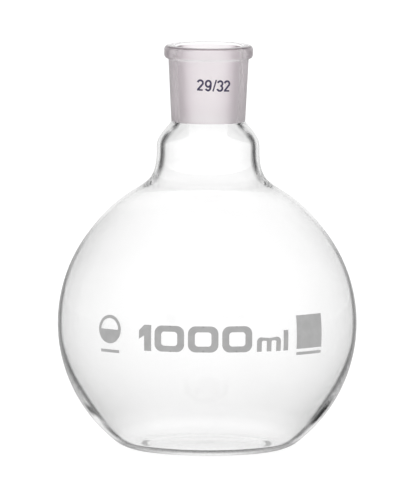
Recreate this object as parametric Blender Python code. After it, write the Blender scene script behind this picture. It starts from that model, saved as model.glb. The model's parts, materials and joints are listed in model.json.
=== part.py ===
"""A 1000 ml flat-bottom boiling flask with a 29/32 ground socket: two glass pieces and their enamel print.

Metres, +Z up. The flask stands on z = 0 with its axis on the Z axis, and its print faces -Y.
"""

import math

import bpy
from mathutils.geometry import delaunay_2d_cdt

MM = 0.001
TAU = 2 * math.pi
SEGMENTS = 48
GAP = 0.3 * MM  # between pieces that touch on the real flask

# Blown bulb, outside
BULB_R = 65.5 * MM
BULB_CENTRE_Z = 55.0 * MM
HEEL_R = 16.0 * MM
FOOT_WIDTH = 3.5 * MM  # the flat ring that the flask stands on
PUNT_HEIGHT = 1.0 * MM
SHOULDER_START = math.radians(36)  # latitude where the sphere turns into the shoulder
SHOULDER_REACH = (34 * MM, 21 * MM)  # handle lengths at the sphere and at the neck
NECK_R = 22.5 * MM
NECK_FOOT_Z = BULB_CENTRE_Z + 76.0 * MM
NECK_HEAD_Z = BULB_CENTRE_Z + 77.5 * MM
NECK_HEAD_REACH = (5.5 * MM, 2.6 * MM)
JOIN_Z = BULB_CENTRE_Z + 88.9 * MM  # where the neck ends and the socket begins

# Blown bulb, inside
BULB_WALL = 1.2 * MM
CAVITY_RISE = 0.5 * MM  # the hollow sits a little high, so the lower wall is thicker
CAVITY_R = BULB_R - BULB_WALL
BASE_THICKNESS = 2.2 * MM
BASE_CROWN = 0.4 * MM  # the inner floor rises this much towards its middle
CAVITY_HEEL_R = 16.0 * MM
# Extra wall low on the bulb, against the latitude.
THICKENING = ((math.radians(-54), 1.1 * MM), (math.radians(-40), 1.3 * MM), (math.radians(-6), 0.0))
NECK_WALL = 2.6 * MM
THROAT_REACH = (5.0 * MM, 3.0 * MM)

# Ground socket: a standard 29/32 cone, 29.2 mm wide at the top, 32 mm long, taper 1 in 10
CONE_TOP_R = 14.6 * MM
CONE_LENGTH = 32.0 * MM
CONE_SLOPE = 0.05  # radius lost per length
LIP_HEIGHT = 0.9 * MM
RIM_TOP_Z = BULB_CENTRE_Z + 122.2 * MM
RIM_R = 19.45 * MM
RIM_HEIGHT = 5.8 * MM
RIM_ROUND = 1.8 * MM
SOCKET_FOOT_R = 16.2 * MM

# Enamel print
ENAMEL_THICKNESS = 0.2 * MM
DIGIT_HEIGHT = 11.4
ZERO_WIDTH = 13.3
BASELINE = -5.7
ZERO_PITCH = 14.95
ZERO_LEFT = -23.3
LABEL_CENTRE = (2.5, 105.9)  # along the socket's front, and above the bulb's centre
LABEL_TILT = math.radians(-2.5)
LABEL_STROKE = 0.7


def clear_scene():
    for obj in list(bpy.data.objects):
        bpy.data.objects.remove(obj)


def make_material(name, colour, roughness, glass=0.0):
    material = bpy.data.materials.new(name)
    material.use_nodes = True
    shader = material.node_tree.nodes["Principled BSDF"]
    shader.inputs["Base Color"].default_value = (*colour, 1)
    shader.inputs["Roughness"].default_value = roughness
    shader.inputs["Metallic"].default_value = 0
    shader.inputs["Transmission Weight"].default_value = glass
    shader.inputs["IOR"].default_value = 1.47
    return material


# ---- Outlines of the turned pieces, as (radius, height) points ----


def arc(centre, radius, start, end, steps):
    """Points on a circle from one angle to another, in radians, both ends included."""
    angles = [start + (end - start) * i / steps for i in range(steps + 1)]
    return [
        (centre[0] + radius * math.cos(a), centre[1] + radius * math.sin(a)) for a in angles
    ]


def bezier(a, b, c, d, steps):
    """Points on a cubic curve from a to d with handles b and c, both ends included."""
    points = []
    for i in range(steps + 1):
        t = i / steps
        s = 1 - t
        weights = (s**3, 3 * s * s * t, 3 * s * t * t, t**3)
        points.append(
            tuple(sum(w * p[k] for w, p in zip(weights, (a, b, c, d))) for k in (0, 1))
        )
    return points


def along(point, angle, distance):
    return point[0] + distance * math.cos(angle), point[1] + distance * math.sin(angle)


def heel(sphere_r, sphere_z, floor_z, round_r, steps):
    """The rounding between a flat floor and a sphere above it, from the floor outwards."""
    height = sphere_z - floor_z - round_r
    across = math.sqrt((sphere_r - round_r) ** 2 - height**2)
    end = math.atan2(-height, across)
    return arc((across, floor_z + round_r), round_r, -math.pi / 2, end, steps), end


def dome(width, low, rise, steps):
    """A shallow rise from the axis down to a ring of the given radius."""
    points = []
    for i in range(steps):
        t = i / steps
        points.append((width * t, low + rise * math.cos(math.pi * t) / 2 + rise / 2))
    return points


def eased(stops, x):
    """The value at x of a curve through (x, value) stops that levels out at each of them."""
    for (x0, y0), (x1, y1) in zip(stops, stops[1:]):
        if x < x1:
            t = max((x - x0) / (x1 - x0), 0)
            return y0 + (y1 - y0) * t * t * (3 - 2 * t)
    return stops[-1][1]


def belly(centre_z, radius, start, thickening=((0.0, 0.0),)):
    """The sphere from the end of the heel, through its widest point, to where the shoulder starts.

    The thickening is taken off the radius.
    """
    lower = []
    for i in range(8):
        latitude = start * (1 - i / 8)
        r = radius - eased(thickening, latitude)
        lower.append((r * math.cos(latitude), centre_z + r * math.sin(latitude)))
    upper = arc((0, centre_z), radius, 0, SHOULDER_START, 6)
    return lower + upper[:-1]


def bulb_outside():
    """From the middle of the base, out over the foot ring and up to the top of the neck."""
    heel_points, heel_end = heel(BULB_R, BULB_CENTRE_Z, 0, HEEL_R, 5)
    foot_inner_r = heel_points[0][0] - FOOT_WIDTH
    start = along((0, BULB_CENTRE_Z), SHOULDER_START, BULB_R)
    handle = along(start, SHOULDER_START + math.pi / 2, SHOULDER_REACH[0])
    shoulder = bezier(
        start, handle, (NECK_R, NECK_FOOT_Z - SHOULDER_REACH[1]), (NECK_R, NECK_FOOT_Z), 9
    )
    head = bezier(
        (NECK_R, NECK_HEAD_Z),
        (NECK_R, NECK_HEAD_Z + NECK_HEAD_REACH[0]),
        (SOCKET_FOOT_R + 1.0 * MM, JOIN_Z - NECK_HEAD_REACH[1]),
        (SOCKET_FOOT_R, JOIN_Z),
        6,
    )
    return (
        dome(foot_inner_r, 0, PUNT_HEIGHT, 4)
        + [(foot_inner_r, 0)]
        + heel_points[:-1]
        + belly(BULB_CENTRE_Z, BULB_R, heel_end)
        + shoulder
        + head
    )


def bulb_inside():
    """From the middle of the inner floor up to the top of the neck."""
    centre_z = BULB_CENTRE_Z + CAVITY_RISE
    low_r = CAVITY_R - THICKENING[0][1]
    heel_points, heel_end = heel(low_r, centre_z, BASE_THICKNESS, CAVITY_HEEL_R, 4)
    neck_r = NECK_R - NECK_WALL
    start = along((0, centre_z), SHOULDER_START, CAVITY_R)
    handle = along(start, SHOULDER_START + math.pi / 2, SHOULDER_REACH[0])
    shoulder = bezier(
        start, handle, (neck_r, NECK_FOOT_Z - SHOULDER_REACH[1]), (neck_r, NECK_FOOT_Z), 9
    )
    throat_r = cone_radius(JOIN_Z)
    throat = bezier(
        (neck_r, NECK_HEAD_Z),
        (neck_r, NECK_HEAD_Z + THROAT_REACH[0]),
        (throat_r + 0.6 * MM, JOIN_Z - THROAT_REACH[1]),
        (throat_r, JOIN_Z),
        6,
    )
    return (
        dome(heel_points[0][0], BASE_THICKNESS, BASE_CROWN, 3)
        + heel_points[:-1]
        + belly(centre_z, CAVITY_R, heel_end, THICKENING)
        + shoulder
        + throat
    )


def cone_radius(z):
    """The ground cone's radius, which goes on at the same taper below the ground length."""
    return CONE_TOP_R - CONE_SLOPE * (RIM_TOP_Z - LIP_HEIGHT - z)


def socket_radius(z):
    """The outside of the socket under its rim."""
    return SOCKET_FOOT_R + CONE_SLOPE * (z - JOIN_Z)


def socket_outline():
    """Closed: down the outside from the rim's top, then up the bore."""
    rim_foot = RIM_TOP_Z - RIM_HEIGHT
    upper = arc((RIM_R - RIM_ROUND, RIM_TOP_Z - RIM_ROUND), RIM_ROUND, math.pi / 2, 0, 4)
    lower = arc((RIM_R - RIM_ROUND, rim_foot + RIM_ROUND), RIM_ROUND, 0, -math.pi / 2, 4)
    foot = JOIN_Z + GAP
    cone_foot = RIM_TOP_Z - LIP_HEIGHT - CONE_LENGTH
    lip = arc((CONE_TOP_R + LIP_HEIGHT, RIM_TOP_Z - LIP_HEIGHT), LIP_HEIGHT, math.pi, math.pi / 2, 3)
    return (
        upper
        + lower
        + [(socket_radius(rim_foot - 1.0 * MM), rim_foot - 1.0 * MM)]
        + [(socket_radius(foot), foot)]
        + [(cone_radius(foot), foot)]
        + [(cone_radius(cone_foot), cone_foot)]
        + lip
    )


def turned(name, outline, material, closed):
    """Turns an outline that runs down the outside of the piece round the Z axis."""
    count = len(outline)
    edges = [(i, i + 1) for i in range(count - 1)]
    if closed:
        edges.append((count - 1, 0))
    mesh = bpy.data.meshes.new(name)
    mesh.from_pydata([(r, 0, z) for r, z in outline], edges, [])
    obj = add_object(name, mesh, material)
    screw = obj.modifiers.new("Turn", "SCREW")
    screw.angle = TAU
    screw.steps = SEGMENTS
    screw.render_steps = SEGMENTS
    screw.use_merge_vertices = True
    screw.merge_threshold = 0.00001
    screw.use_smooth_shade = True
    return obj


def add_object(name, mesh, material):
    mesh.materials.append(material)
    obj = bpy.data.objects.new(name, mesh)
    bpy.context.scene.collection.objects.link(obj)
    obj.parent = bpy.data.objects["flask_origin"]
    return obj


# ---- Flat shapes of the print, as lists of small polygons in millimetres ----


def strip(first, second):
    """The quads between two rails with as many points each."""
    pairs = list(zip(first, second))
    return [[a, c, d, b] for (a, b), (c, d) in zip(pairs, pairs[1:])]


def ring(outer, inner):
    return strip(outer + outer[:1], inner + inner[:1])


def rounded_rectangle(width, height, radius, steps=4):
    """An outline centred on the origin, anticlockwise from its upper right corner."""
    points = []
    for corner, (sx, sy) in enumerate(((1, 1), (-1, 1), (-1, -1), (1, -1))):
        centre = (sx * (width / 2 - radius), sy * (height / 2 - radius))
        start = corner * math.pi / 2
        points += arc(centre, radius, start, start + math.pi / 2, steps)
    return points


def stroke(path, width):
    """A pen stroke of constant width along a path."""
    left = []
    right = []
    for i, (x, y) in enumerate(path):
        x0, y0 = path[max(i - 1, 0)]
        x1, y1 = path[min(i + 1, len(path) - 1)]
        length = math.hypot(x1 - x0, y1 - y0)
        nx = -(y1 - y0) / length * width / 2
        ny = (x1 - x0) / length * width / 2
        left.append((x + nx, y + ny))
        right.append((x - nx, y - ny))
    return strip(left, right)


def plate(width, height, columns, rows):
    """A rectangle in small cells, its lower left corner on the origin."""
    cells = []
    for row in range(rows):
        low = [(width * i / columns, height * row / rows) for i in range(columns + 1)]
        high = [(x, y + height / rows) for x, y in low]
        cells += strip(high, low)
    return cells


def moved(shape, dx, dy):
    return [[(x + dx, y + dy) for x, y in polygon] for polygon in shape]


def turned_flat(shape, angle):
    c = math.cos(angle)
    s = math.sin(angle)
    return [[(c * x - s * y, s * x + c * y) for x, y in polygon] for polygon in shape]


def zero():
    """A wide, square zero whose sides are heavier than its top and bottom."""
    outer = rounded_rectangle(ZERO_WIDTH, DIGIT_HEIGHT, 3.3)
    inner = rounded_rectangle(ZERO_WIDTH - 6.1, DIGIT_HEIGHT - 5.2, 1.4)
    return moved(ring(outer, inner), ZERO_WIDTH / 2, DIGIT_HEIGHT / 2)


def one():
    """A stem with a slanted flag at its left."""
    stem = plate(3.3, DIGIT_HEIGHT, 1, 4)
    flag = [(0, 6.7), (0, DIGIT_HEIGHT), (-2.5, 8.9), (-2.5, 5.1)]
    return moved(stem, 2.5, 0) + moved([flag], 2.5, 0)


def letter_m():
    """Three stems under two flat arches."""
    width, height, stem, top = 11.4, 6.3, 2.25, 1.55
    opening = (width - 3 * stem) / 2
    corner = 1.9
    roof = height - top
    left = arc((corner, height - corner), corner, math.pi, math.pi / 2, 4)
    right = arc((width - corner, height - corner), corner, math.pi / 2, 0, 4)
    outline = [(0, 0), *left, (width / 2, height - 0.4), *right, (width, 0)]
    for x in (width - stem - opening, stem):
        far = arc((x + opening - 0.6, roof - 0.6), 0.6, 0, math.pi / 2, 2)
        near = arc((x + 0.6, roof - 0.6), 0.6, math.pi / 2, math.pi, 2)
        outline += [(x + opening, 0), *far, *near, (x, 0)]
    return [outline[::-1]]


def letter_l():
    return plate(2.35, 9.0, 1, 3)


def round_mark():
    """A plain ring whose lower half is filled."""
    steps = 32
    outer = arc((0, 0), 6.2, 0, TAU, steps)[:-1]
    inner = arc((0, 0), 4.8, 0, TAU, steps)[:-1]
    shape = ring(outer, inner)
    radii = (0.6, 2.6, 4.9)
    bowls = [arc((0, 0), r, math.pi, TAU, steps // 2) for r in radii]
    for small, large in zip(bowls, bowls[1:]):
        shape += strip(large, small)
    return shape + [bowls[0]]


def figure_two():
    bow = arc((1.15, 3.15), 1.15, math.radians(172), math.radians(-28), 8)
    return stroke(bow + [(0.12, 0.1)], LABEL_STROKE) + stroke([(-0.2, 0), (2.35, 0)], 0.6)


def figure_nine():
    circle = [(1.15 + 1.1 * x, 2.95 + 1.35 * y) for x, y in arc((0, 0), 1, 0, TAU, 16)]
    tail = bezier((2.25, 3.0), (2.35, 0.9), (1.9, 0.0), (1.15, 0.0), 6)
    hook = arc((1.15, 1.0), 1.0, -math.pi / 2, math.radians(-165), 3)
    return stroke(circle, LABEL_STROKE) + stroke(tail + hook[1:], LABEL_STROKE)


def figure_three():
    upper = arc((1.1, 3.2), 1.08, math.radians(165), math.radians(-80), 8)
    lower = arc((1.05, 1.15), 1.17, math.radians(80), math.radians(-165), 9)
    return stroke(upper, LABEL_STROKE) + stroke(lower, LABEL_STROKE)


def slash():
    return stroke([(0, -0.3), (1.25, 4.75)], 0.45)


# ---- Enamel pieces: flat shapes laid on the glass and given a thickness ----


def area(polygon):
    """The signed area, positive where the corners run anticlockwise."""
    pairs = zip(polygon, polygon[1:] + polygon[:1])
    return sum(x0 * y1 - x1 * y0 for (x0, y0), (x1, y1) in pairs) / 2


def merged(shape):
    """The polygons' union as triangles: (points, faces)."""
    points = []
    faces = []
    for polygon in shape:
        faces.append(list(range(len(points), len(points) + len(polygon))))
        points += polygon if area(polygon) > 0 else polygon[::-1]
    out = delaunay_2d_cdt(points, [], faces, 1, 1e-4)
    kept = [face for face, source in zip(out[2], out[5]) if source]
    used = sorted({i for face in kept for i in face})
    index = {old: new for new, old in enumerate(used)}
    return [out[0][i] for i in used], [[index[i] for i in face] for face in kept]


def on_bulb(x, y, height):
    """A point over the bulb: x along the equator from the front, y up along the meridian."""
    turn = x * MM / BULB_R
    latitude = y * MM / BULB_R
    radius = BULB_R + height
    across = radius * math.cos(latitude)
    z = BULB_CENTRE_Z + radius * math.sin(latitude)
    return across * math.sin(turn), -across * math.cos(turn), z


def on_socket(x, y, height):
    """A point over the socket: x round it from the front, y above the label's middle."""
    z = BULB_CENTRE_Z + (LABEL_CENTRE[1] + y) * MM
    radius = socket_radius(z) + height
    turn = (LABEL_CENTRE[0] + x) * MM / socket_radius(z)
    return radius * math.sin(turn), -radius * math.cos(turn), z


def enamel(name, shape, place, material):
    """One printed shape as a closed solid, just clear of the glass that carries it."""
    points, faces = merged(shape)
    count = len(points)
    verts = [place(x, y, GAP) for x, y in points]
    verts += [place(x, y, GAP + ENAMEL_THICKNESS) for x, y in points]
    sides = {(a, b) for face in faces for a, b in zip(face, face[1:] + face[:1])}
    rim = sorted((a, b) for a, b in sides if (b, a) not in sides)
    polygons = [[i + count for i in face] for face in faces]
    polygons += [face[::-1] for face in faces]
    polygons += [[a, b, b + count, a + count] for a, b in rim]
    mesh = bpy.data.meshes.new(name)
    mesh.from_pydata(verts, [], polygons)
    return add_object(name, mesh, material)


def print_capacity(material):
    """1000 ml across the front, all on one baseline."""
    enamel("capacity_1", moved(one(), ZERO_LEFT - 7.4, BASELINE), on_bulb, material)
    for i, place in enumerate(("first", "second", "third")):
        digit = moved(zero(), ZERO_LEFT + i * ZERO_PITCH, BASELINE)
        enamel(f"capacity_0_{place}", digit, on_bulb, material)
    enamel("capacity_m", moved(letter_m(), 22.1, BASELINE), on_bulb, material)
    enamel("capacity_l", moved(letter_l(), 34.9, BASELINE), on_bulb, material)


def print_panels(material):
    """The patch for pencil notes, a round mark, and a plain bar under each."""
    enamel("writing_patch", moved(plate(14.8, 14.7, 6, 5), 41.75, -5.4), on_bulb, material)
    enamel("patch_bar", moved(plate(14.6, 1.3, 6, 1), 41.85, -8.1), on_bulb, material)
    enamel("round_mark", moved(round_mark(), -46.2, 2.6), on_bulb, material)
    enamel("mark_bar", moved(plate(10.4, 1.3, 5, 1), -51.4, -7.6), on_bulb, material)


def print_joint_size(material):
    """29/32 on the socket, along a line that drops a little to the right."""
    figures = (
        ("joint_size_2_first", figure_two(), -7.25),
        ("joint_size_9", figure_nine(), -3.75),
        ("joint_size_slash", slash(), -0.4),
        ("joint_size_3", figure_three(), 1.55),
        ("joint_size_2_last", figure_two(), 4.75),
    )
    for name, figure, x in figures:
        enamel(name, turned_flat(moved(figure, x, -2.2), LABEL_TILT), on_socket, material)


def main():
    clear_scene()
    origin = bpy.data.objects.new("flask_origin", None)
    bpy.context.scene.collection.objects.link(origin)
    clear_glass = make_material("clear_glass", (0.95, 0.96, 0.96), 0.0, glass=1.0)
    ground_glass = make_material("ground_glass", (0.88, 0.85, 0.86), 0.4, glass=1.0)
    grey_enamel = make_material("grey_enamel", (0.38, 0.38, 0.38), 0.6)
    blue_enamel = make_material("blue_enamel", (0.09, 0.08, 0.13), 0.5)
    turned("bulb", bulb_inside() + bulb_outside()[::-1], clear_glass, closed=False)
    turned("ground_socket", socket_outline(), ground_glass, closed=True)
    print_capacity(grey_enamel)
    print_panels(grey_enamel)
    print_joint_size(blue_enamel)


main()
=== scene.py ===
"""Looks of the flat-bottom boiling flask: fine glass, enamel print, pale floor, soft light and camera.

Metres, +Z up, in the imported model's frame. The flask's axis is the Z axis and its print faces -Y.
"""

import json
import math

import bpy
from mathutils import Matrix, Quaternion, Vector
from mathutils.geometry import delaunay_2d_cdt

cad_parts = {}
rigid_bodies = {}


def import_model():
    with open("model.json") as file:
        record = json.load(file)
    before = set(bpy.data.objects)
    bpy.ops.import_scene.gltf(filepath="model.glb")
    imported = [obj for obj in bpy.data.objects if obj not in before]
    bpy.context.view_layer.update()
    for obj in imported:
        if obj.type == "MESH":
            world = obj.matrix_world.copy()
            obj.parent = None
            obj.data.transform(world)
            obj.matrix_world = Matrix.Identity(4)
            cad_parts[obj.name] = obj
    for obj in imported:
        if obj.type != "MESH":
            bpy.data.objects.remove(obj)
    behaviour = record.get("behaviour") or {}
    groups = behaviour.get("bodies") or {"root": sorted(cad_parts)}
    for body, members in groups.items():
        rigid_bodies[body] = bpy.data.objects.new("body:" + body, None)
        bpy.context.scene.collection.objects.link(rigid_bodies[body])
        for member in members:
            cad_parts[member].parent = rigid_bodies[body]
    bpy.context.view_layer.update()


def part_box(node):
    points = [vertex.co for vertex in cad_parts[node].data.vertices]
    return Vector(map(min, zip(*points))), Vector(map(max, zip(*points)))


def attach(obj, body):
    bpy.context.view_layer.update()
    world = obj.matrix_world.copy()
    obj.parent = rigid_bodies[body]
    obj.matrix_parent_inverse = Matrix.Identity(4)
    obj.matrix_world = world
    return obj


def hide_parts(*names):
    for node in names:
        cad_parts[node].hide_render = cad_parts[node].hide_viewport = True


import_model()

MM = 0.001
TAU = 2 * math.pi
SEGMENTS = 256

# ---- Places that the frame gives ----

bulb_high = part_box("bulb")[1]
socket_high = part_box("ground_socket")[1]
zero_low, zero_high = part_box("capacity_0_second")
label_low, label_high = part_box("joint_size_9")

BULB_R = bulb_high.x
BULB_CENTRE_Z = (zero_low.z + zero_high.z) / 2  # the digits are centred on the equator
JOIN_Z = bulb_high.z
RIM_TOP_Z = socket_high.z
RIM_R = 19.45 * MM
LABEL_Z = (label_low.z + label_high.z) / 2

# ---- Bulb ----

HEEL_R = 16.0 * MM
FOOT_WIDTH = 3.5 * MM
PUNT_HEIGHT = 1.0 * MM
SHOULDER_START = math.radians(36)
SHOULDER_REACH = (34 * MM, 21 * MM)
NECK_R = 22.5 * MM
NECK_FOOT_Z = BULB_CENTRE_Z + 76.0 * MM
NECK_HEAD_Z = BULB_CENTRE_Z + 77.5 * MM
NECK_HEAD_REACH = (5.5 * MM, 2.6 * MM)

BULB_WALL = 1.2 * MM
CAVITY_RISE = 0.5 * MM
CAVITY_R = BULB_R - BULB_WALL
BASE_THICKNESS = 2.2 * MM
BASE_CROWN = 0.4 * MM
CAVITY_HEEL_R = 16.0 * MM
# Extra wall low on the bulb, against the latitude.
THICKENING = ((math.radians(-54), 1.1 * MM), (math.radians(-40), 1.3 * MM), (math.radians(-6), 0.0))
NECK_WALL = 2.6 * MM
THROAT_REACH = (5.0 * MM, 3.0 * MM)

# ---- Socket: a standard 29/32 cone ----

CONE_TOP_R = 14.6 * MM
CONE_SLOPE = 0.05
LIP_HEIGHT = 0.9 * MM
RIM_HEIGHT = 5.8 * MM
RIM_ROUND = 1.8 * MM
SOCKET_FOOT_R = 16.2 * MM
WELD_GAP = 0.03 * MM

# ---- Print: film on the glass in metres, shapes in millimetres along it ----

ENAMEL_LIFT = 0.03 * MM
ENAMEL_THICKNESS = 0.05 * MM
DIGIT_HEIGHT = 11.4
ZERO_WIDTH = 13.3
BASELINE = -5.7
ZERO_PITCH = 14.95
ZERO_LEFT = -23.3
ONE_LEFT = ZERO_LEFT - 7.4
M_LEFT = 22.1
L_LEFT = 34.9
# Width, height and lower left corner of each plain field, and the middle of the round mark.
PATCH = (14.8, 14.7, 41.75, -5.4)
PATCH_BAR = (14.6, 1.3, 41.85, -8.1)
MARK_BAR = (10.4, 1.3, -51.4, -7.6)
ROUND_MARK_AT = (-46.2, 2.6)
LABEL_CENTRE_X = 2.5
LABEL_TILT = math.radians(-2.5)
LABEL_STROKE = 0.85
LABEL_BASELINE = -2.2

# ---- Looks of the glass ----

WAVE_DEPTH = 0.02 * MM
# In plain white light clear glass shows almost no dark lines. Those that a flask shows in a studio come from
# dark things around it; here the material paints them in as painted shade, by mixing in a dark surface. Each
# pair is (where, how dark). The places are how far the surface turns from the eye (0 face on, 1 edge on) or
# metres above the foot, unless a comment says otherwise.

# General shade towards the sides of the bulb.
SIDE_SHADE = ((0.0, 0.0), (0.28, 0.07), (0.48, 0.13), (0.63, 0.19), (0.80, 0.27), (1.0, 0.35))
# The edge line and the mirror line are painted dark lines of shade.
# The edge line runs over a stretch of turn next to edge on. The mirror line lies within the wall, over a
# stretch of turn next to where the inner face turns into a mirror. Each stretch is given for the bulb and
# for the thick neck, and the lines' own places are shares of it.
MIRROR_START = 0.2675
MIRROR_SPAN = (0.022, 0.066)
MIRROR_LEAD = 0.3  # the share of the mirror line that lies before the start
EDGE_SPAN = (0.16, 0.38)
MIRROR_LINE = ((0.0, 0.0), (0.15, 0.3), (0.3, 0.94), (0.5, 0.9), (0.7, 0.65), (1.0, 0.03))
EDGE_LINE = ((0.0, 0.88), (0.3, 0.86), (0.5, 0.76), (0.64, 0.58), (0.82, 0.26), (1.0, 0.0))
# The mirror line is kept to the near wall and the heel line to the nearest face: faces passed through so far.
NEAR_WALL = 2.5
NEAREST_FACE = 1.5
# The strength of both lines by height. They fade on the shoulder and at the neck's top.
UPRIGHT = (
    (0.0028, 0.0),
    (0.009, 1.0),
    (0.0115, 0.9),
    (0.0145, 0.5),
    (0.0175, 0.95),
    (0.026, 0.9),
    (0.040, 1.0),
    (BULB_CENTRE_Z + 0.031, 1.0),
    (BULB_CENTRE_Z + 0.038, 0.45),
    (BULB_CENTRE_Z + 0.047, 0.06),
    (BULB_CENTRE_Z + 0.0625, 0.06),
    (BULB_CENTRE_Z + 0.069, 1.0),
    (BULB_CENTRE_Z + 0.082, 1.0),
    (BULB_CENTRE_Z + 0.0845, 0.12),
    (BULB_CENTRE_Z + 0.086, 1.0),
)
# The strength of the general shade by height: none on the floor, little on the shoulder.
WALLS = (
    (0.004, 0.0),
    (0.010, 1.0),
    (BULB_CENTRE_Z + 0.026, 1.0),
    (BULB_CENTRE_Z + 0.046, 0.6),
    (BULB_CENTRE_Z + 0.056, 0.12),
    (BULB_CENTRE_Z + 0.064, 0.12),
    (BULB_CENTRE_Z + 0.070, 1.0),
)
# A shade all round, low on the bulb.
FOOT_SHADE = ((0.003, 0.0), (0.006, 0.11), (0.014, 0.115), (0.024, 0.085), (0.050, 0.045), (0.075, 0.0))
# The general shade gains this share above the bulb's widest, by height, and most at the left: sides run from
# 0 at the left to 1 at the right.
UPPER_SHADE = (
    (BULB_CENTRE_Z, 0.0),
    (BULB_CENTRE_Z + 0.022, 0.5),
    (BULB_CENTRE_Z + 0.044, 0.7),
    (BULB_CENTRE_Z + 0.054, 0.0),
    (BULB_CENTRE_Z + 0.070, 0.35),
)
LEFT_SHARE = ((0.05, 1.0), (0.35, 0.25), (1.0, 0.25))
# The painted dark line of shade along the rounding inside the heel, over a stretch of turn as for the mirror
# line.
HEEL_LINE = ((0.0, 0.0), (0.25, 0.68), (0.6, 0.68), (1.0, 0.0))
HEEL_SPAN = 0.07
HEEL_LEAD = 0.25
HEEL_HEIGHTS = ((0.0022, 0.0), (0.0026, 1.0), (0.0045, 1.0), (0.007, 0.0))
# The painted shade streak on the outer face above the heel, by turn, and where it lies on either side.
STREAK_LINE = ((0.69, 0.0), (0.74, 0.97), (0.80, 0.97), (0.86, 0.0))
RIGHT_STREAK_HEIGHTS = ((0.0105, 0.0), (0.014, 1.0), (0.020, 1.0), (0.026, 0.0))
RIGHT_STREAK_SIDES = ((0.90, 0.0), (0.96, 1.0))
LEFT_STREAK_HEIGHTS = ((0.0155, 0.0), (0.0175, 0.8), (0.0195, 0.8), (0.022, 0.0))
LEFT_STREAK_SIDES = ((0.04, 1.0), (0.10, 0.0))
# Two painted dark spots of shade on the underside, at the left and right end of its hollow: millimetres out
# from the axis, and the place from the middle (0) to either side (1).
SHADE_SPOT_DISTANCES = ((25.8, 0.0), (26.8, 0.85), (28.2, 0.85), (29.2, 0.0))
SHADE_SPOT_SIDES = ((0.92, 0.0), (0.965, 1.0))
SHADE_SPOT_TOP = 1.5 * MM
# They show where the underside is seen near the angle at which it turns into a mirror, not from above.
SHADE_SPOT_TURN = ((0.20, 0.0), (0.258, 1.0))
# Where the bulb ends and the neck counts in full, by height.
NECK_SHARE = ((BULB_CENTRE_Z + 0.055, 0.0), (BULB_CENTRE_Z + 0.068, 1.0))
# The thick neck's outer face is painted a little darker near edge on, as shade.
NECK_SHADE = ((0.4, 0.0), (0.6, 0.15))
# The matt cone's clearness and colour by turn; the colour is painted darker towards edge on, as shade.
GROUND_CLEARNESS = ((0.0, 0.9), (0.2, 0.8), (0.32, 0.5), (0.45, 0.1))
GROUND_TONES = (
    (0.0, (0.96, 0.91, 0.93)),
    (0.13, (0.95, 0.89, 0.92)),
    (0.25, (0.89, 0.81, 0.85)),
    (0.33, (0.80, 0.72, 0.76)),
    (0.45, (0.42, 0.36, 0.39)),
)
# The polished rim's front edge, where the flat top turns down, painted grey as shade.
RIM_EDGE_SHADE_COLOUR = (0.30, 0.25, 0.27)
RIM_EDGE_START = math.radians(72)
RIM_EDGE_END = math.radians(40)
# The thin shade line low on the rim's side, by the height over the rim's foot in rim roundings.
RIM_FOOT_LINE = ((0.1, 0.0), (0.25, 0.13), (0.4, 0.13), (0.55, 0.0))

# ---- Stage and camera ----

FLOOR_Z = -0.05 * MM  # just under the foot, so that the two surfaces never coincide
FLOOR_GREY = 0.2
FLOOR_GLOW = 0.93
# How much darker the floor and the surroundings are where they are seen mirrored in a glossy surface.
MIRROR_DIMMING = 0.55
SKY_DIMMING = 0.12
MIRROR_DEPTH = 3.5  # bounces after which mirrored light counts in full again
# Brightness of the surroundings against the sine of the height above the horizon.
SKY = ((0.0, 1.0), (0.92, 1.0), (1.0, 0.8))

LENS_MM = 1000.0
CAMERA_DISTANCE = 6.0
CAMERA_ELEVATION = math.radians(6.1)
CAMERA_AIM = Vector((0.4 * MM, 0, BULB_CENTRE_Z + 33.6 * MM))
CAMERA_ROLL = math.radians(0.3)


# ---- Outlines of the turned pieces, as (radius, height) points ----


def arc(centre, radius, start, end, steps):
    """Points on a circle from one angle to another, in radians, both ends included."""
    angles = [start + (end - start) * i / steps for i in range(steps + 1)]
    return [
        (centre[0] + radius * math.cos(a), centre[1] + radius * math.sin(a)) for a in angles
    ]


def bezier(a, b, c, d, steps):
    """Points on a cubic curve from a to d with handles b and c, both ends included."""
    points = []
    for i in range(steps + 1):
        t = i / steps
        s = 1 - t
        weights = (s**3, 3 * s * s * t, 3 * s * t * t, t**3)
        points.append(
            tuple(sum(w * p[k] for w, p in zip(weights, (a, b, c, d))) for k in (0, 1))
        )
    return points


def along(point, angle, distance):
    return point[0] + distance * math.cos(angle), point[1] + distance * math.sin(angle)


def heel(sphere_r, sphere_z, floor_z, round_r, steps):
    """The rounding between a flat floor and a sphere above it, from the floor outwards."""
    height = sphere_z - floor_z - round_r
    across = math.sqrt((sphere_r - round_r) ** 2 - height**2)
    end = math.atan2(-height, across)
    return arc((across, floor_z + round_r), round_r, -math.pi / 2, end, steps), end


def dome(width, low, rise, steps):
    """A shallow rise from the axis down to a ring of the given radius."""
    points = []
    for i in range(steps):
        t = i / steps
        points.append((width * t, low + rise * math.cos(math.pi * t) / 2 + rise / 2))
    return points


def eased(stops, x):
    """The value at x of a curve through (x, value) stops that levels out at each of them."""
    for (x0, y0), (x1, y1) in zip(stops, stops[1:]):
        if x < x1:
            t = max((x - x0) / (x1 - x0), 0)
            return y0 + (y1 - y0) * t * t * (3 - 2 * t)
    return stops[-1][1]


def belly(centre_z, radius, start, thickening=((0.0, 0.0),)):
    """The sphere from the end of the heel, through its widest point, to where the shoulder starts.

    The thickening is taken off the radius.
    """
    lower = []
    for i in range(60):
        latitude = start * (1 - i / 60)
        r = radius - eased(thickening, latitude)
        lower.append((r * math.cos(latitude), centre_z + r * math.sin(latitude)))
    upper = arc((0, centre_z), radius, 0, SHOULDER_START, 36)
    return lower + upper[:-1]


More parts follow.
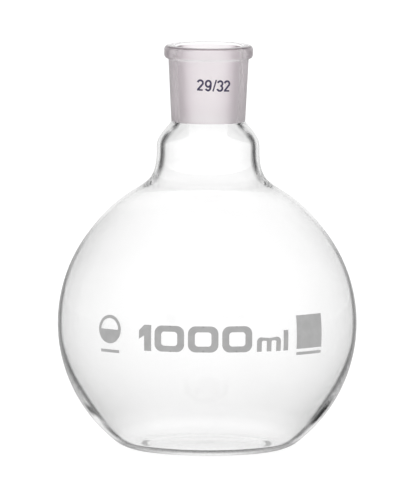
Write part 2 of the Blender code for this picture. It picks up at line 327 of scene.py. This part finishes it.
def shoulder(centre_z, sphere_r, neck_r):
    start = along((0, centre_z), SHOULDER_START, sphere_r)
    handle = along(start, SHOULDER_START + math.pi / 2, SHOULDER_REACH[0])
    return bezier(
        start, handle, (neck_r, NECK_FOOT_Z - SHOULDER_REACH[1]), (neck_r, NECK_FOOT_Z), 48
    )


def bulb_outside():
    """From the middle of the base, out over the foot ring and up to the top of the neck."""
    heel_points, heel_end = heel(BULB_R, BULB_CENTRE_Z, 0, HEEL_R, 20)
    foot_inner_r = heel_points[0][0] - FOOT_WIDTH
    head = bezier(
        (NECK_R, NECK_HEAD_Z),
        (NECK_R, NECK_HEAD_Z + NECK_HEAD_REACH[0]),
        (SOCKET_FOOT_R + 1.0 * MM, JOIN_Z - NECK_HEAD_REACH[1]),
        (SOCKET_FOOT_R, JOIN_Z),
        28,
    )
    return (
        dome(foot_inner_r, 0, PUNT_HEIGHT, 24)
        + [(foot_inner_r, 0)]
        + heel_points[:-1]
        + belly(BULB_CENTRE_Z, BULB_R, heel_end)
        + shoulder(BULB_CENTRE_Z, BULB_R, NECK_R)
        + head
    )


def bulb_inside():
    """From the middle of the inner floor up to the top of the neck."""
    centre_z = BULB_CENTRE_Z + CAVITY_RISE
    low_r = CAVITY_R - THICKENING[0][1]
    heel_points, heel_end = heel(low_r, centre_z, BASE_THICKNESS, CAVITY_HEEL_R, 20)
    neck_r = NECK_R - NECK_WALL
    throat_r = cone_radius(JOIN_Z)
    throat = bezier(
        (neck_r, NECK_HEAD_Z),
        (neck_r, NECK_HEAD_Z + THROAT_REACH[0]),
        (throat_r + 0.6 * MM, JOIN_Z - THROAT_REACH[1]),
        (throat_r, JOIN_Z),
        28,
    )
    return (
        dome(heel_points[0][0], BASE_THICKNESS, BASE_CROWN, 24)
        + heel_points[:-1]
        + belly(centre_z, CAVITY_R, heel_end, THICKENING)
        + shoulder(centre_z, CAVITY_R, neck_r)
        + throat
    )


def cone_radius(z):
    return CONE_TOP_R - CONE_SLOPE * (RIM_TOP_Z - LIP_HEIGHT - z)


def socket_radius(z):
    return SOCKET_FOOT_R + CONE_SLOPE * (z - JOIN_Z)


def straight(a, b, steps):
    """Points from a to b, leaving out b."""
    return [
        tuple(p + (q - p) * i / steps for p, q in zip(a, b)) for i in range(steps)
    ]


def rim_top():
    """From the lip over the rim's flat top to its outer edge."""
    centre = (RIM_R - RIM_ROUND, RIM_TOP_Z - RIM_ROUND)
    return arc(centre, RIM_ROUND, math.pi / 2, RIM_EDGE_START, 4)[:-1]


def rim_edge():
    """The turn from the rim's top to its side."""
    centre = (RIM_R - RIM_ROUND, RIM_TOP_Z - RIM_ROUND)
    return arc(centre, RIM_ROUND, RIM_EDGE_START, RIM_EDGE_END, 8)[:-1]


def socket_outside():
    """From the rim's side, round under the rim and down to the weld."""
    rim_foot = RIM_TOP_Z - RIM_HEIGHT
    centre = (RIM_R - RIM_ROUND, RIM_TOP_Z - RIM_ROUND)
    upper = arc(centre, RIM_ROUND, RIM_EDGE_END, 0, 6)
    lower = arc((RIM_R - RIM_ROUND, rim_foot + RIM_ROUND), RIM_ROUND, 0, -math.pi / 2, 12)
    top = (socket_radius(rim_foot - 1.0 * MM), rim_foot - 1.0 * MM)
    foot = (socket_radius(JOIN_Z), JOIN_Z + WELD_GAP)
    return upper + lower + straight(top, foot, 24) + [foot]


def socket_bore():
    """From the weld up the ground cone to its top."""
    foot = (cone_radius(JOIN_Z), JOIN_Z + WELD_GAP)
    top_z = RIM_TOP_Z - LIP_HEIGHT
    return straight(foot, (CONE_TOP_R, top_z), 40)


def socket_lip():
    return arc(
        (CONE_TOP_R + LIP_HEIGHT, RIM_TOP_Z - LIP_HEIGHT), LIP_HEIGHT, math.pi, math.pi / 2, 8
    )


def revolve(name, runs, closed):
    """Turns runs of outline points round the Z axis; each run is (points, material).

    The runs follow one another up the inside and down the outside, and a point on the axis becomes a
    pole. A run's material covers the bands that start in it.
    """
    points = [p for run, _ in runs for p in run]
    slots = [i for i, (run, _) in enumerate(runs) for _ in run]
    verts = []
    rings = []
    for r, z in points:
        if r < 1e-9:
            rings.append([len(verts)] * SEGMENTS)
            verts.append((0, 0, z))
            continue
        rings.append(range(len(verts), len(verts) + SEGMENTS))
        for k in range(SEGMENTS):
            a = TAU * k / SEGMENTS
            verts.append((r * math.cos(a), r * math.sin(a), z))
    faces = []
    materials = []
    bands = len(rings) if closed else len(rings) - 1
    for i in range(bands):
        below = rings[i]
        above = rings[(i + 1) % len(rings)]
        for k in range(SEGMENTS):
            n = (k + 1) % SEGMENTS
            corners = [below[k], above[k], above[n], below[n]]
            faces.append(list(dict.fromkeys(corners)))
            materials.append(slots[i])
    mesh = bpy.data.meshes.new(name)
    mesh.from_pydata(verts, [], faces)
    for _, material in runs:
        mesh.materials.append(material)
    mesh.polygons.foreach_set("material_index", materials)
    mesh.shade_smooth()
    return piece(name, mesh)


def piece(name, mesh):
    obj = bpy.data.objects.new(name, mesh)
    bpy.context.scene.collection.objects.link(obj)
    return obj


# ---- Flat shapes of the print, as lists of small polygons in millimetres ----


def strip(first, second):
    """The quads between two rails with as many points each."""
    pairs = list(zip(first, second))
    return [[a, c, d, b] for (a, b), (c, d) in zip(pairs, pairs[1:])]


def ring(outer, inner):
    return strip(outer + outer[:1], inner + inner[:1])


def rounded_rectangle(width, height, radius, steps=10):
    """An outline centred on the origin, anticlockwise from its upper right corner."""
    points = []
    for corner, (sx, sy) in enumerate(((1, 1), (-1, 1), (-1, -1), (1, -1))):
        centre = (sx * (width / 2 - radius), sy * (height / 2 - radius))
        start = corner * math.pi / 2
        points += arc(centre, radius, start, start + math.pi / 2, steps)
    return points


def stroke(path, width):
    """A pen stroke of constant width along a path."""
    left = []
    right = []
    for i, (x, y) in enumerate(path):
        x0, y0 = path[max(i - 1, 0)]
        x1, y1 = path[min(i + 1, len(path) - 1)]
        length = math.hypot(x1 - x0, y1 - y0)
        nx = -(y1 - y0) / length * width / 2
        ny = (x1 - x0) / length * width / 2
        left.append((x + nx, y + ny))
        right.append((x - nx, y - ny))
    return strip(left, right)


def plate(width, height, columns, rows):
    """A rectangle in small cells, its lower left corner on the origin."""
    cells = []
    for row in range(rows):
        low = [(width * i / columns, height * row / rows) for i in range(columns + 1)]
        high = [(x, y + height / rows) for x, y in low]
        cells += strip(high, low)
    return cells


def moved(shape, dx, dy):
    return [[(x + dx, y + dy) for x, y in polygon] for polygon in shape]


def turned_flat(shape, angle):
    c = math.cos(angle)
    s = math.sin(angle)
    return [[(c * x - s * y, s * x + c * y) for x, y in polygon] for polygon in shape]


def zero():
    """A wide, square zero whose sides are heavier than its top and bottom."""
    outer = rounded_rectangle(ZERO_WIDTH, DIGIT_HEIGHT, 3.3)
    inner = rounded_rectangle(ZERO_WIDTH - 6.1, DIGIT_HEIGHT - 5.2, 1.4)
    return moved(ring(outer, inner), ZERO_WIDTH / 2, DIGIT_HEIGHT / 2)


def one():
    """A stem with a slanted flag at its left."""
    stem = plate(3.3, DIGIT_HEIGHT, 2, 8)
    flag = [(0, 6.7), (0, DIGIT_HEIGHT), (-2.5, 8.9), (-2.5, 5.1)]
    return moved(stem, 2.5, 0) + moved([flag], 2.5, 0)


def letter_m():
    """Three stems under two flat arches."""
    width, height, stem, top = 11.4, 6.3, 2.25, 1.55
    opening = (width - 3 * stem) / 2
    corner = 1.9
    roof = height - top
    left = arc((corner, height - corner), corner, math.pi, math.pi / 2, 10)
    right = arc((width - corner, height - corner), corner, math.pi / 2, 0, 10)
    outline = [(0, 0), *left, (width / 2, height - 0.4), *right, (width, 0)]
    for x in (width - stem - opening, stem):
        far = arc((x + opening - 0.6, roof - 0.6), 0.6, 0, math.pi / 2, 5)
        near = arc((x + 0.6, roof - 0.6), 0.6, math.pi / 2, math.pi, 5)
        outline += [(x + opening, 0), *far, *near, (x, 0)]
    return [outline[::-1]]


def letter_l():
    return plate(2.35, 9.0, 2, 6)


def round_mark():
    """A plain ring whose lower half is filled."""
    steps = 96
    outer = arc((0, 0), 6.2, 0, TAU, steps)[:-1]
    inner = arc((0, 0), 4.8, 0, TAU, steps)[:-1]
    shape = ring(outer, inner)
    radii = (0.6, 1.7, 2.8, 3.9, 4.9)
    bowls = [arc((0, 0), r, math.pi, TAU, steps // 2) for r in radii]
    for small, large in zip(bowls, bowls[1:]):
        shape += strip(large, small)
    return shape + [bowls[0]]


def figure_two():
    bow = arc((1.15, 3.15), 1.15, math.radians(172), math.radians(-28), 20)
    return stroke(bow + [(0.12, 0.1)], LABEL_STROKE) + stroke([(-0.2, 0.05), (2.35, 0.05)], 0.7)


def figure_nine():
    circle = [(1.15 + 1.1 * x, 2.95 + 1.35 * y) for x, y in arc((0, 0), 1, 0, TAU, 40)]
    tail = bezier((2.25, 3.0), (2.35, 0.9), (1.9, 0.0), (1.15, 0.0), 12)
    hook = arc((1.15, 1.0), 1.0, -math.pi / 2, math.radians(-165), 6)
    return stroke(circle, LABEL_STROKE) + stroke(tail + hook[1:], LABEL_STROKE)


def figure_three():
    upper = arc((1.1, 3.2), 1.08, math.radians(165), math.radians(-80), 20)
    lower = arc((1.05, 1.15), 1.17, math.radians(80), math.radians(-165), 20)
    return stroke(upper, LABEL_STROKE) + stroke(lower, LABEL_STROKE)


def slash():
    return stroke([(0, -0.3), (1.25, 4.75)], 0.62)


# ---- Enamel pieces: flat shapes laid on the glass and given a thickness ----


def area(polygon):
    """The signed area, positive where the corners run anticlockwise."""
    pairs = zip(polygon, polygon[1:] + polygon[:1])
    return sum(x0 * y1 - x1 * y0 for (x0, y0), (x1, y1) in pairs) / 2


def merged(shape):
    """The polygons' union as triangles: (points, faces)."""
    points = []
    faces = []
    for polygon in shape:
        faces.append(list(range(len(points), len(points) + len(polygon))))
        points += polygon if area(polygon) > 0 else polygon[::-1]
    out = delaunay_2d_cdt(points, [], faces, 1, 1e-4)
    kept = [face for face, source in zip(out[2], out[5]) if source]
    used = sorted({i for face in kept for i in face})
    index = {old: new for new, old in enumerate(used)}
    return [out[0][i] for i in used], [[index[i] for i in face] for face in kept]


def on_bulb(x, y, height):
    """A point over the bulb: x along the equator from the front, y up along the meridian."""
    turn = x * MM / BULB_R
    latitude = y * MM / BULB_R
    radius = BULB_R + height
    across = radius * math.cos(latitude)
    z = BULB_CENTRE_Z + radius * math.sin(latitude)
    return across * math.sin(turn), -across * math.cos(turn), z


def on_socket(x, y, height):
    """A point over the socket: x round it from the front, y above the label's middle."""
    z = LABEL_Z + y * MM
    radius = socket_radius(z) + height
    turn = (LABEL_CENTRE_X + x) * MM / socket_radius(z)
    return radius * math.sin(turn), -radius * math.cos(turn), z


def enamel(node, shape, place, material):
    """One printed shape as a closed film on the glass, in the place of its CAD node."""
    points, faces = merged(shape)
    count = len(points)
    verts = [place(x, y, ENAMEL_LIFT) for x, y in points]
    verts += [place(x, y, ENAMEL_LIFT + ENAMEL_THICKNESS) for x, y in points]
    sides = {(a, b) for face in faces for a, b in zip(face, face[1:] + face[:1])}
    rim = sorted((a, b) for a, b in sides if (b, a) not in sides)
    polygons = [[i + count for i in face] for face in faces]
    polygons += [face[::-1] for face in faces]
    polygons += [[a, b, b + count, a + count] for a, b in rim]
    mesh = bpy.data.meshes.new(f"{node}_print")
    mesh.from_pydata(verts, [], polygons)
    mesh.materials.append(material)
    obj = piece(f"{node}_print", mesh)
    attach(obj, "root")
    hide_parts(node)
    return obj


def print_capacity(material):
    """1000 ml across the front, all on one baseline."""
    enamel("capacity_1", moved(one(), ONE_LEFT, BASELINE), on_bulb, material)
    for i, place in enumerate(("first", "second", "third")):
        digit = moved(zero(), ZERO_LEFT + i * ZERO_PITCH, BASELINE)
        enamel(f"capacity_0_{place}", digit, on_bulb, material)
    enamel("capacity_m", moved(letter_m(), M_LEFT, BASELINE), on_bulb, material)
    enamel("capacity_l", moved(letter_l(), L_LEFT, BASELINE), on_bulb, material)


def field(place, columns, rows):
    """A plain rectangle in its place, in small cells."""
    width, height, left, low = place
    return moved(plate(width, height, columns, rows), left, low)


def print_panels(material):
    """The patch for pencil notes, a round mark, and a plain bar under each."""
    enamel("writing_patch", field(PATCH, 16, 16), on_bulb, material)
    enamel("patch_bar", field(PATCH_BAR, 16, 2), on_bulb, material)
    enamel("round_mark", moved(round_mark(), *ROUND_MARK_AT), on_bulb, material)
    enamel("mark_bar", field(MARK_BAR, 12, 2), on_bulb, material)


def print_joint_size(material):
    """29/32 on the socket, along a line that drops a little to the right."""
    figures = (
        ("joint_size_2_first", figure_two(), -7.25),
        ("joint_size_9", figure_nine(), -3.75),
        ("joint_size_slash", slash(), -0.4),
        ("joint_size_3", figure_three(), 1.55),
        ("joint_size_2_last", figure_two(), 4.75),
    )
    for name, figure, x in figures:
        enamel(name, turned_flat(moved(figure, x, LABEL_BASELINE), LABEL_TILT), on_socket, material)


# ---- Materials ----


def new_material(name):
    material = bpy.data.materials.new(name)
    material.use_nodes = True
    tree = material.node_tree
    return material, tree, tree.nodes["Principled BSDF"]


def value_of(tree, operation, a, b):
    """A Math node's output; a and b are sockets or numbers."""
    node = tree.nodes.new("ShaderNodeMath")
    node.operation = operation
    for socket, value in zip(node.inputs, (a, b)):
        if isinstance(value, (int, float)):
            socket.default_value = value
        else:
            tree.links.new(value, socket)
    return node.outputs[0]


def product(tree, first, *others):
    for other in others:
        first = value_of(tree, "MULTIPLY", first, other)
    return first


def total(tree, first, *others):
    for other in others:
        first = value_of(tree, "ADD", first, other)
    return first


def ramp(tree, source, stops):
    """A Color Ramp's output for (position, grey or colour) stops, in rising order."""
    node = tree.nodes.new("ShaderNodeValToRGB")
    elements = node.color_ramp.elements
    elements.remove(elements[1])
    for i, (position, colour) in enumerate(stops):
        element = elements.new(position) if i else elements[0]
        element.position = position
        if isinstance(colour, (int, float)):
            colour = (colour, colour, colour)
        element.color = (*colour, 1)
    tree.links.new(source, node.inputs["Fac"])
    return node.outputs["Color"]


def by_height(tree, stops):
    """A ramp over the height above the foot, for stops in metres."""
    shares = [(z / RIM_TOP_Z, value) for z, value in stops]
    return ramp(tree, object_height(tree), shares)


def blended(tree, ends, share):
    """The value between two ends at the given share of the way."""
    return total(tree, product(tree, share, ends[1] - ends[0]), ends[0])


def noise(tree, scale, detail=2.0, stretch=(1, 1, 1)):
    """A Noise Texture over the object's own coordinates, in features per metre."""
    coordinates = tree.nodes.new("ShaderNodeTexCoord")
    mapping = tree.nodes.new("ShaderNodeMapping")
    mapping.inputs["Scale"].default_value = stretch
    texture = tree.nodes.new("ShaderNodeTexNoise")
    texture.inputs["Scale"].default_value = scale
    texture.inputs["Detail"].default_value = detail
    tree.links.new(coordinates.outputs["Object"], mapping.inputs["Vector"])
    tree.links.new(mapping.outputs["Vector"], texture.inputs["Vector"])
    return texture.outputs["Fac"]


def bump(tree, height, distance, strength=1.0):
    node = tree.nodes.new("ShaderNodeBump")
    node.inputs["Strength"].default_value = strength
    node.inputs["Distance"].default_value = distance
    tree.links.new(height, node.inputs["Height"])
    return node.outputs["Normal"]


def object_height(tree):
    """The height above the foot, from 0 to 1 at the rim's top."""
    coordinates = tree.nodes.new("ShaderNodeTexCoord")
    parts = tree.nodes.new("ShaderNodeSeparateXYZ")
    tree.links.new(coordinates.outputs["Object"], parts.inputs[0])
    return value_of(tree, "DIVIDE", parts.outputs["Z"], RIM_TOP_Z)


def axis_distance(tree):
    """The distance from the axis, from 0 to 1 at the bulb's widest."""
    coordinates = tree.nodes.new("ShaderNodeTexCoord")
    flat = tree.nodes.new("ShaderNodeVectorMath")
    flat.operation = "MULTIPLY"
    flat.inputs[1].default_value = (1 / BULB_R, 1 / BULB_R, 0)
    length = tree.nodes.new("ShaderNodeVectorMath")
    length.operation = "LENGTH"
    tree.links.new(coordinates.outputs["Object"], flat.inputs[0])
    tree.links.new(flat.outputs["Vector"], length.inputs[0])
    return length.outputs["Value"]


def side_place(tree):
    """Where the point lies round the axis: 0 at the left, 1 at the right, 0.5 at front and back."""
    coordinates = tree.nodes.new("ShaderNodeTexCoord")
    parts = tree.nodes.new("ShaderNodeSeparateXYZ")
    tree.links.new(coordinates.outputs["Object"], parts.inputs[0])
    across = value_of(tree, "DIVIDE", parts.outputs["X"], BULB_R)
    sine = value_of(tree, "DIVIDE", across, axis_distance(tree))
    return total(tree, product(tree, sine, 0.5), 0.5)


def edge_weight(tree):
    """How far the surface turns from the eye: 0 face on, 1 edge on."""
    weight = tree.nodes.new("ShaderNodeLayerWeight")
    weight.inputs["Blend"].default_value = 0.5
    return weight.outputs["Facing"]


def in_air_or_glass(tree):
    """Two shares that are 0 or 1: for light that meets the face in the air, and within the glass."""
    geometry = tree.nodes.new("ShaderNodeNewGeometry")
    from_glass = geometry.outputs["Backfacing"]
    return value_of(tree, "SUBTRACT", 1.0, from_glass), from_glass


def passed_fewer(tree, count):
    """1 for light that has passed through fewer faces than the count, else 0."""
    path = tree.nodes.new("ShaderNodeLightPath")
    return value_of(tree, "LESS_THAN", path.outputs["Transmission Depth"], count)


def blown_glass(tree, shader, colour=(1, 1, 1)):
    """Fire-polished borosilicate glass with the faint waves of a blown wall."""
    shader.inputs["Roughness"].default_value = 0.0
    shader.inputs["IOR"].default_value = 1.47
    shader.inputs["Transmission Weight"].default_value = 1.0
    waves = noise(tree, 38.0, 1.0, (1, 1, 0.6))
    duller = tuple(0.985 * c for c in colour)
    tint = ramp(tree, waves, ((0.3, colour), (0.7, duller)))
    tree.links.new(tint, shader.inputs["Base Color"])
    tree.links.new(bump(tree, waves, WAVE_DEPTH), shader.inputs["Normal"])


def rim_edge_shade_glass(name):
    """The edge of the rim's flat top, painted grey as shade."""
    material, tree, shader = new_material(name)
    blown_glass(tree, shader, RIM_EDGE_SHADE_COLOUR)
    return material


def rim_glass(name):
    """The socket's outside: clear glass with a thin shade line where the rim turns under."""
    material, tree, shader = new_material(name)
    blown_glass(tree, shader)
    over_foot = value_of(tree, "SUBTRACT", object_height(tree), 1 - RIM_HEIGHT / RIM_TOP_Z)
    roundings = product(tree, over_foot, RIM_TOP_Z / RIM_ROUND)
    darkened(tree, shader, ramp(tree, roundings, RIM_FOOT_LINE))
    return material


def wall_lines(tree, facing, from_air, from_glass):
    """The painted dark edge line and mirror line of the upright walls."""
    on_neck = by_height(tree, NECK_SHARE)
    past_start = value_of(tree, "SUBTRACT", facing, MIRROR_START)
    mirror = value_of(tree, "DIVIDE", past_start, blended(tree, MIRROR_SPAN, on_neck))
    mirror_line = ramp(tree, total(tree, mirror, MIRROR_LEAD), MIRROR_LINE)
    before_edge = value_of(tree, "SUBTRACT", 1.0, facing)
    edge = value_of(tree, "DIVIDE", before_edge, blended(tree, EDGE_SPAN, on_neck))
    edge_line = ramp(tree, edge, EDGE_LINE)
    lines = total(
        tree,
        product(tree, edge_line, from_air),
        product(tree, mirror_line, from_glass, passed_fewer(tree, NEAR_WALL)),
    )
    return product(tree, lines, by_height(tree, UPRIGHT))


def heel_line(tree, facing, from_glass):
    """The painted dark line along the rounding inside the heel."""
    past_start = value_of(tree, "SUBTRACT", facing, MIRROR_START)
    turn = total(tree, value_of(tree, "DIVIDE", past_start, HEEL_SPAN), HEEL_LEAD)
    place = by_height(tree, HEEL_HEIGHTS)
    return product(
        tree, ramp(tree, turn, HEEL_LINE), from_glass, place, passed_fewer(tree, NEAREST_FACE)
    )


def wall_shade(tree, facing, from_air):
    """The soft shade towards the sides and low on the bulb."""
    upper = product(tree, by_height(tree, UPPER_SHADE), ramp(tree, side_place(tree), LEFT_SHARE))
    general = product(
        tree,
        ramp(tree, facing, SIDE_SHADE),
        by_height(tree, WALLS),
        total(tree, upper, 1.0),
    )
    return product(tree, total(tree, general, by_height(tree, FOOT_SHADE)), from_air)


def inner_glass(name):
    """The wall's inner face, with painted grey lines and painted shade towards its sides."""
    material, tree, shader = new_material(name)
    blown_glass(tree, shader)
    facing = edge_weight(tree)
    from_air, from_glass = in_air_or_glass(tree)
    share = total(
        tree,
        wall_lines(tree, facing, from_air, from_glass),
        heel_line(tree, facing, from_glass),
        wall_shade(tree, facing, from_air),
    )
    darkened(tree, shader, share)
    return material


def streaks(tree, facing):
    """The painted grey shade streak above the heel at the right and at the left."""
    side = side_place(tree)
    right = product(
        tree, by_height(tree, RIGHT_STREAK_HEIGHTS), ramp(tree, side, RIGHT_STREAK_SIDES)
    )
    left = product(tree, by_height(tree, LEFT_STREAK_HEIGHTS), ramp(tree, side, LEFT_STREAK_SIDES))
    return product(tree, total(tree, right, left), ramp(tree, facing, STREAK_LINE))


def base_shade_spots(tree, facing):
    """The two painted dark spots of shade on the underside."""
    distances = [(distance * MM / BULB_R, share) for distance, share in SHADE_SPOT_DISTANCES]
    from_middle = value_of(tree, "SUBTRACT", side_place(tree), 0.5)
    aside = product(tree, value_of(tree, "ABSOLUTE", from_middle, 0.0), 2.0)
    return product(
        tree,
        ramp(tree, axis_distance(tree), distances),
        ramp(tree, aside, SHADE_SPOT_SIDES),
        value_of(tree, "LESS_THAN", object_height(tree), SHADE_SPOT_TOP / RIM_TOP_Z),
        ramp(tree, facing, SHADE_SPOT_TURN),
    )


def outer_glass(name):
    """The outer face, with painted shade: the streaks above the heel, the base's two dark spots and the
    neck's darker edge.
    """
    material, tree, shader = new_material(name)
    blown_glass(tree, shader)
    facing = edge_weight(tree)
    from_air, _ = in_air_or_glass(tree)
    neck = product(tree, by_height(tree, NECK_SHARE), ramp(tree, facing, NECK_SHADE))
    outside = product(tree, total(tree, streaks(tree, facing), neck), from_air)
    darkened(tree, shader, total(tree, outside, base_shade_spots(tree, facing)))
    return material


def darkened(tree, shader, share):
    """Mixes a dark surface into the material by a share, as painted shade."""
    dark = tree.nodes.new("ShaderNodeBsdfPrincipled")
    dark.inputs["Base Color"].default_value = (0.02, 0.02, 0.02, 1)
    dark.inputs["Roughness"].default_value = 1.0
    dark.inputs["Specular IOR Level"].default_value = 0.0
    mix = tree.nodes.new("ShaderNodeMixShader")
    tree.links.new(share, mix.inputs["Fac"])
    tree.links.new(shader.outputs[0], mix.inputs[1])
    tree.links.new(dark.outputs[0], mix.inputs[2])
    tree.links.new(mix.outputs[0], tree.nodes["Material Output"].inputs["Surface"])


def ground_glass(name):
    """Glass ground matt with a fine even grain, with painted shade towards edge on."""
    material, tree, shader = new_material(name)
    grain = noise(tree, 2600.0, 3.0)
    cloud = noise(tree, 120.0, 2.0, (1, 1, 0.5))
    tint = ramp(tree, cloud, ((0.3, (0.94, 0.93, 0.935)), (0.7, (1, 1, 1))))
    turn = edge_weight(tree)
    tones = ramp(tree, turn, GROUND_TONES)
    blend = tree.nodes.new("ShaderNodeMix")
    blend.data_type = "RGBA"
    blend.blend_type = "MULTIPLY"
    blend.inputs["Factor"].default_value = 1.0
    tree.links.new(tones, blend.inputs["A"])
    tree.links.new(tint, blend.inputs["B"])
    tree.links.new(blend.outputs["Result"], shader.inputs["Base Color"])
    roughness = ramp(tree, grain, ((0.3, 0.42), (0.7, 0.56)))
    tree.links.new(roughness, shader.inputs["Roughness"])
    tree.links.new(bump(tree, grain, 0.02 * MM), shader.inputs["Normal"])
    shader.inputs["IOR"].default_value = 1.47
    tree.links.new(ramp(tree, turn, GROUND_CLEARNESS), shader.inputs["Transmission Weight"])
    return material


def enamel_paint(name, dark, light):
    """Fired enamel: slightly uneven in tone, with a fine pebbled surface."""
    material, tree, shader = new_material(name)
    grain = noise(tree, 1500.0, 3.0)
    cloud = noise(tree, 260.0, 3.0)
    tree.links.new(ramp(tree, cloud, ((0.3, dark), (0.7, light))), shader.inputs["Base Color"])
    roughness = ramp(tree, grain, ((0.3, 0.45), (0.7, 0.65)))
    tree.links.new(roughness, shader.inputs["Roughness"])
    tree.links.new(bump(tree, grain, 0.012 * MM), shader.inputs["Normal"])
    return material


# ---- Stage ----


def dimmed_in_mirrors(tree, amount):
    """1 for light seen straight or through glass, less for light seen mirrored in a glossy surface."""
    path = tree.nodes.new("ShaderNodeLightPath")
    mirrored = product(tree, path.outputs["Is Reflection Ray"], path.outputs["Is Glossy Ray"])
    shallow = value_of(tree, "LESS_THAN", path.outputs["Ray Depth"], MIRROR_DEPTH)
    return value_of(tree, "SUBTRACT", 1.0, product(tree, mirrored, shallow, amount))


def make_floor():
    """A pale floor, lit from beneath like a light table so that it stays an even white."""
    reach = 12.0
    mesh = bpy.data.meshes.new("floor")
    corners = [(x * reach, y * reach, FLOOR_Z) for x, y in ((-1, -1), (1, -1), (1, 1), (-1, 1))]
    mesh.from_pydata(corners, [], [[0, 1, 2, 3]])
    material, tree, shader = new_material("pale_floor")
    shader.inputs["Base Color"].default_value = (FLOOR_GREY, FLOOR_GREY, FLOOR_GREY, 1)
    shader.inputs["Roughness"].default_value = 1.0
    shader.inputs["Specular IOR Level"].default_value = 0.0
    shader.inputs["Emission Color"].default_value = (1, 1, 1, 1)
    glow = product(tree, dimmed_in_mirrors(tree, MIRROR_DIMMING), FLOOR_GLOW)
    tree.links.new(glow, shader.inputs["Emission Strength"])
    mesh.materials.append(material)
    floor = piece("floor", mesh)


def make_light():
    """Soft light from all round: white, and a little dimmer straight overhead."""
    world = bpy.data.worlds.new("studio")
    world.use_nodes = True
    tree = world.node_tree
    coordinates = tree.nodes.new("ShaderNodeTexCoord")
    parts = tree.nodes.new("ShaderNodeSeparateXYZ")
    tree.links.new(coordinates.outputs["Generated"], parts.inputs[0])
    background = tree.nodes["Background"]
    tree.links.new(ramp(tree, parts.outputs["Z"], SKY), background.inputs["Color"])
    tree.links.new(dimmed_in_mirrors(tree, SKY_DIMMING), background.inputs["Strength"])
    bpy.context.scene.world = world


def make_camera():
    data = bpy.data.cameras.new("camera")
    data.lens = LENS_MM
    data.clip_end = 100
    camera = bpy.data.objects.new("camera", data)
    bpy.context.scene.collection.objects.link(camera)
    back = Vector((0, -math.cos(CAMERA_ELEVATION), math.sin(CAMERA_ELEVATION)))
    camera.location = CAMERA_AIM + CAMERA_DISTANCE * back
    level = (-back).to_track_quat("-Z", "Y")
    camera.rotation_euler = (level @ Quaternion((0, 0, 1), CAMERA_ROLL)).to_euler()
    bpy.context.scene.camera = camera


def main():
    for obj in list(bpy.data.objects):
        if obj.name in ("Cube", "Light", "Camera"):
            bpy.data.objects.remove(obj)
    scene = bpy.context.scene
    scene.view_settings.view_transform = "Standard"
    scene.cycles.max_bounces = 64
    scene.cycles.transmission_bounces = 64
    scene.cycles.glossy_bounces = 64
    make_camera()
    make_light()
    make_floor()

    outside = outer_glass("clear_glass_outside")
    rim = rim_glass("clear_glass_rim")
    inside = inner_glass("clear_glass_inside")
    ground = ground_glass("ground_cone")
    edge = rim_edge_shade_glass("rim_edge")
    bulb = revolve(
        "bulb_glass", [(bulb_inside(), inside), (bulb_outside()[::-1], outside)], closed=False
    )
    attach(bulb, "root")
    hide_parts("bulb")
    socket = revolve(
        "socket_glass",
        [
            (socket_bore(), ground),
            (socket_lip() + rim_top(), rim),
            (rim_edge(), edge),
            (socket_outside(), rim),
        ],
        closed=True,
    )
    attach(socket, "root")
    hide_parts("ground_socket")

    grey = enamel_paint("grey_enamel_print", (0.37, 0.37, 0.37), (0.42, 0.42, 0.42))
    blue = enamel_paint("blue_enamel_print", (0.035, 0.03, 0.075), (0.055, 0.045, 0.10))
    print_capacity(grey)
    print_panels(grey)
    print_joint_size(blue)


main()
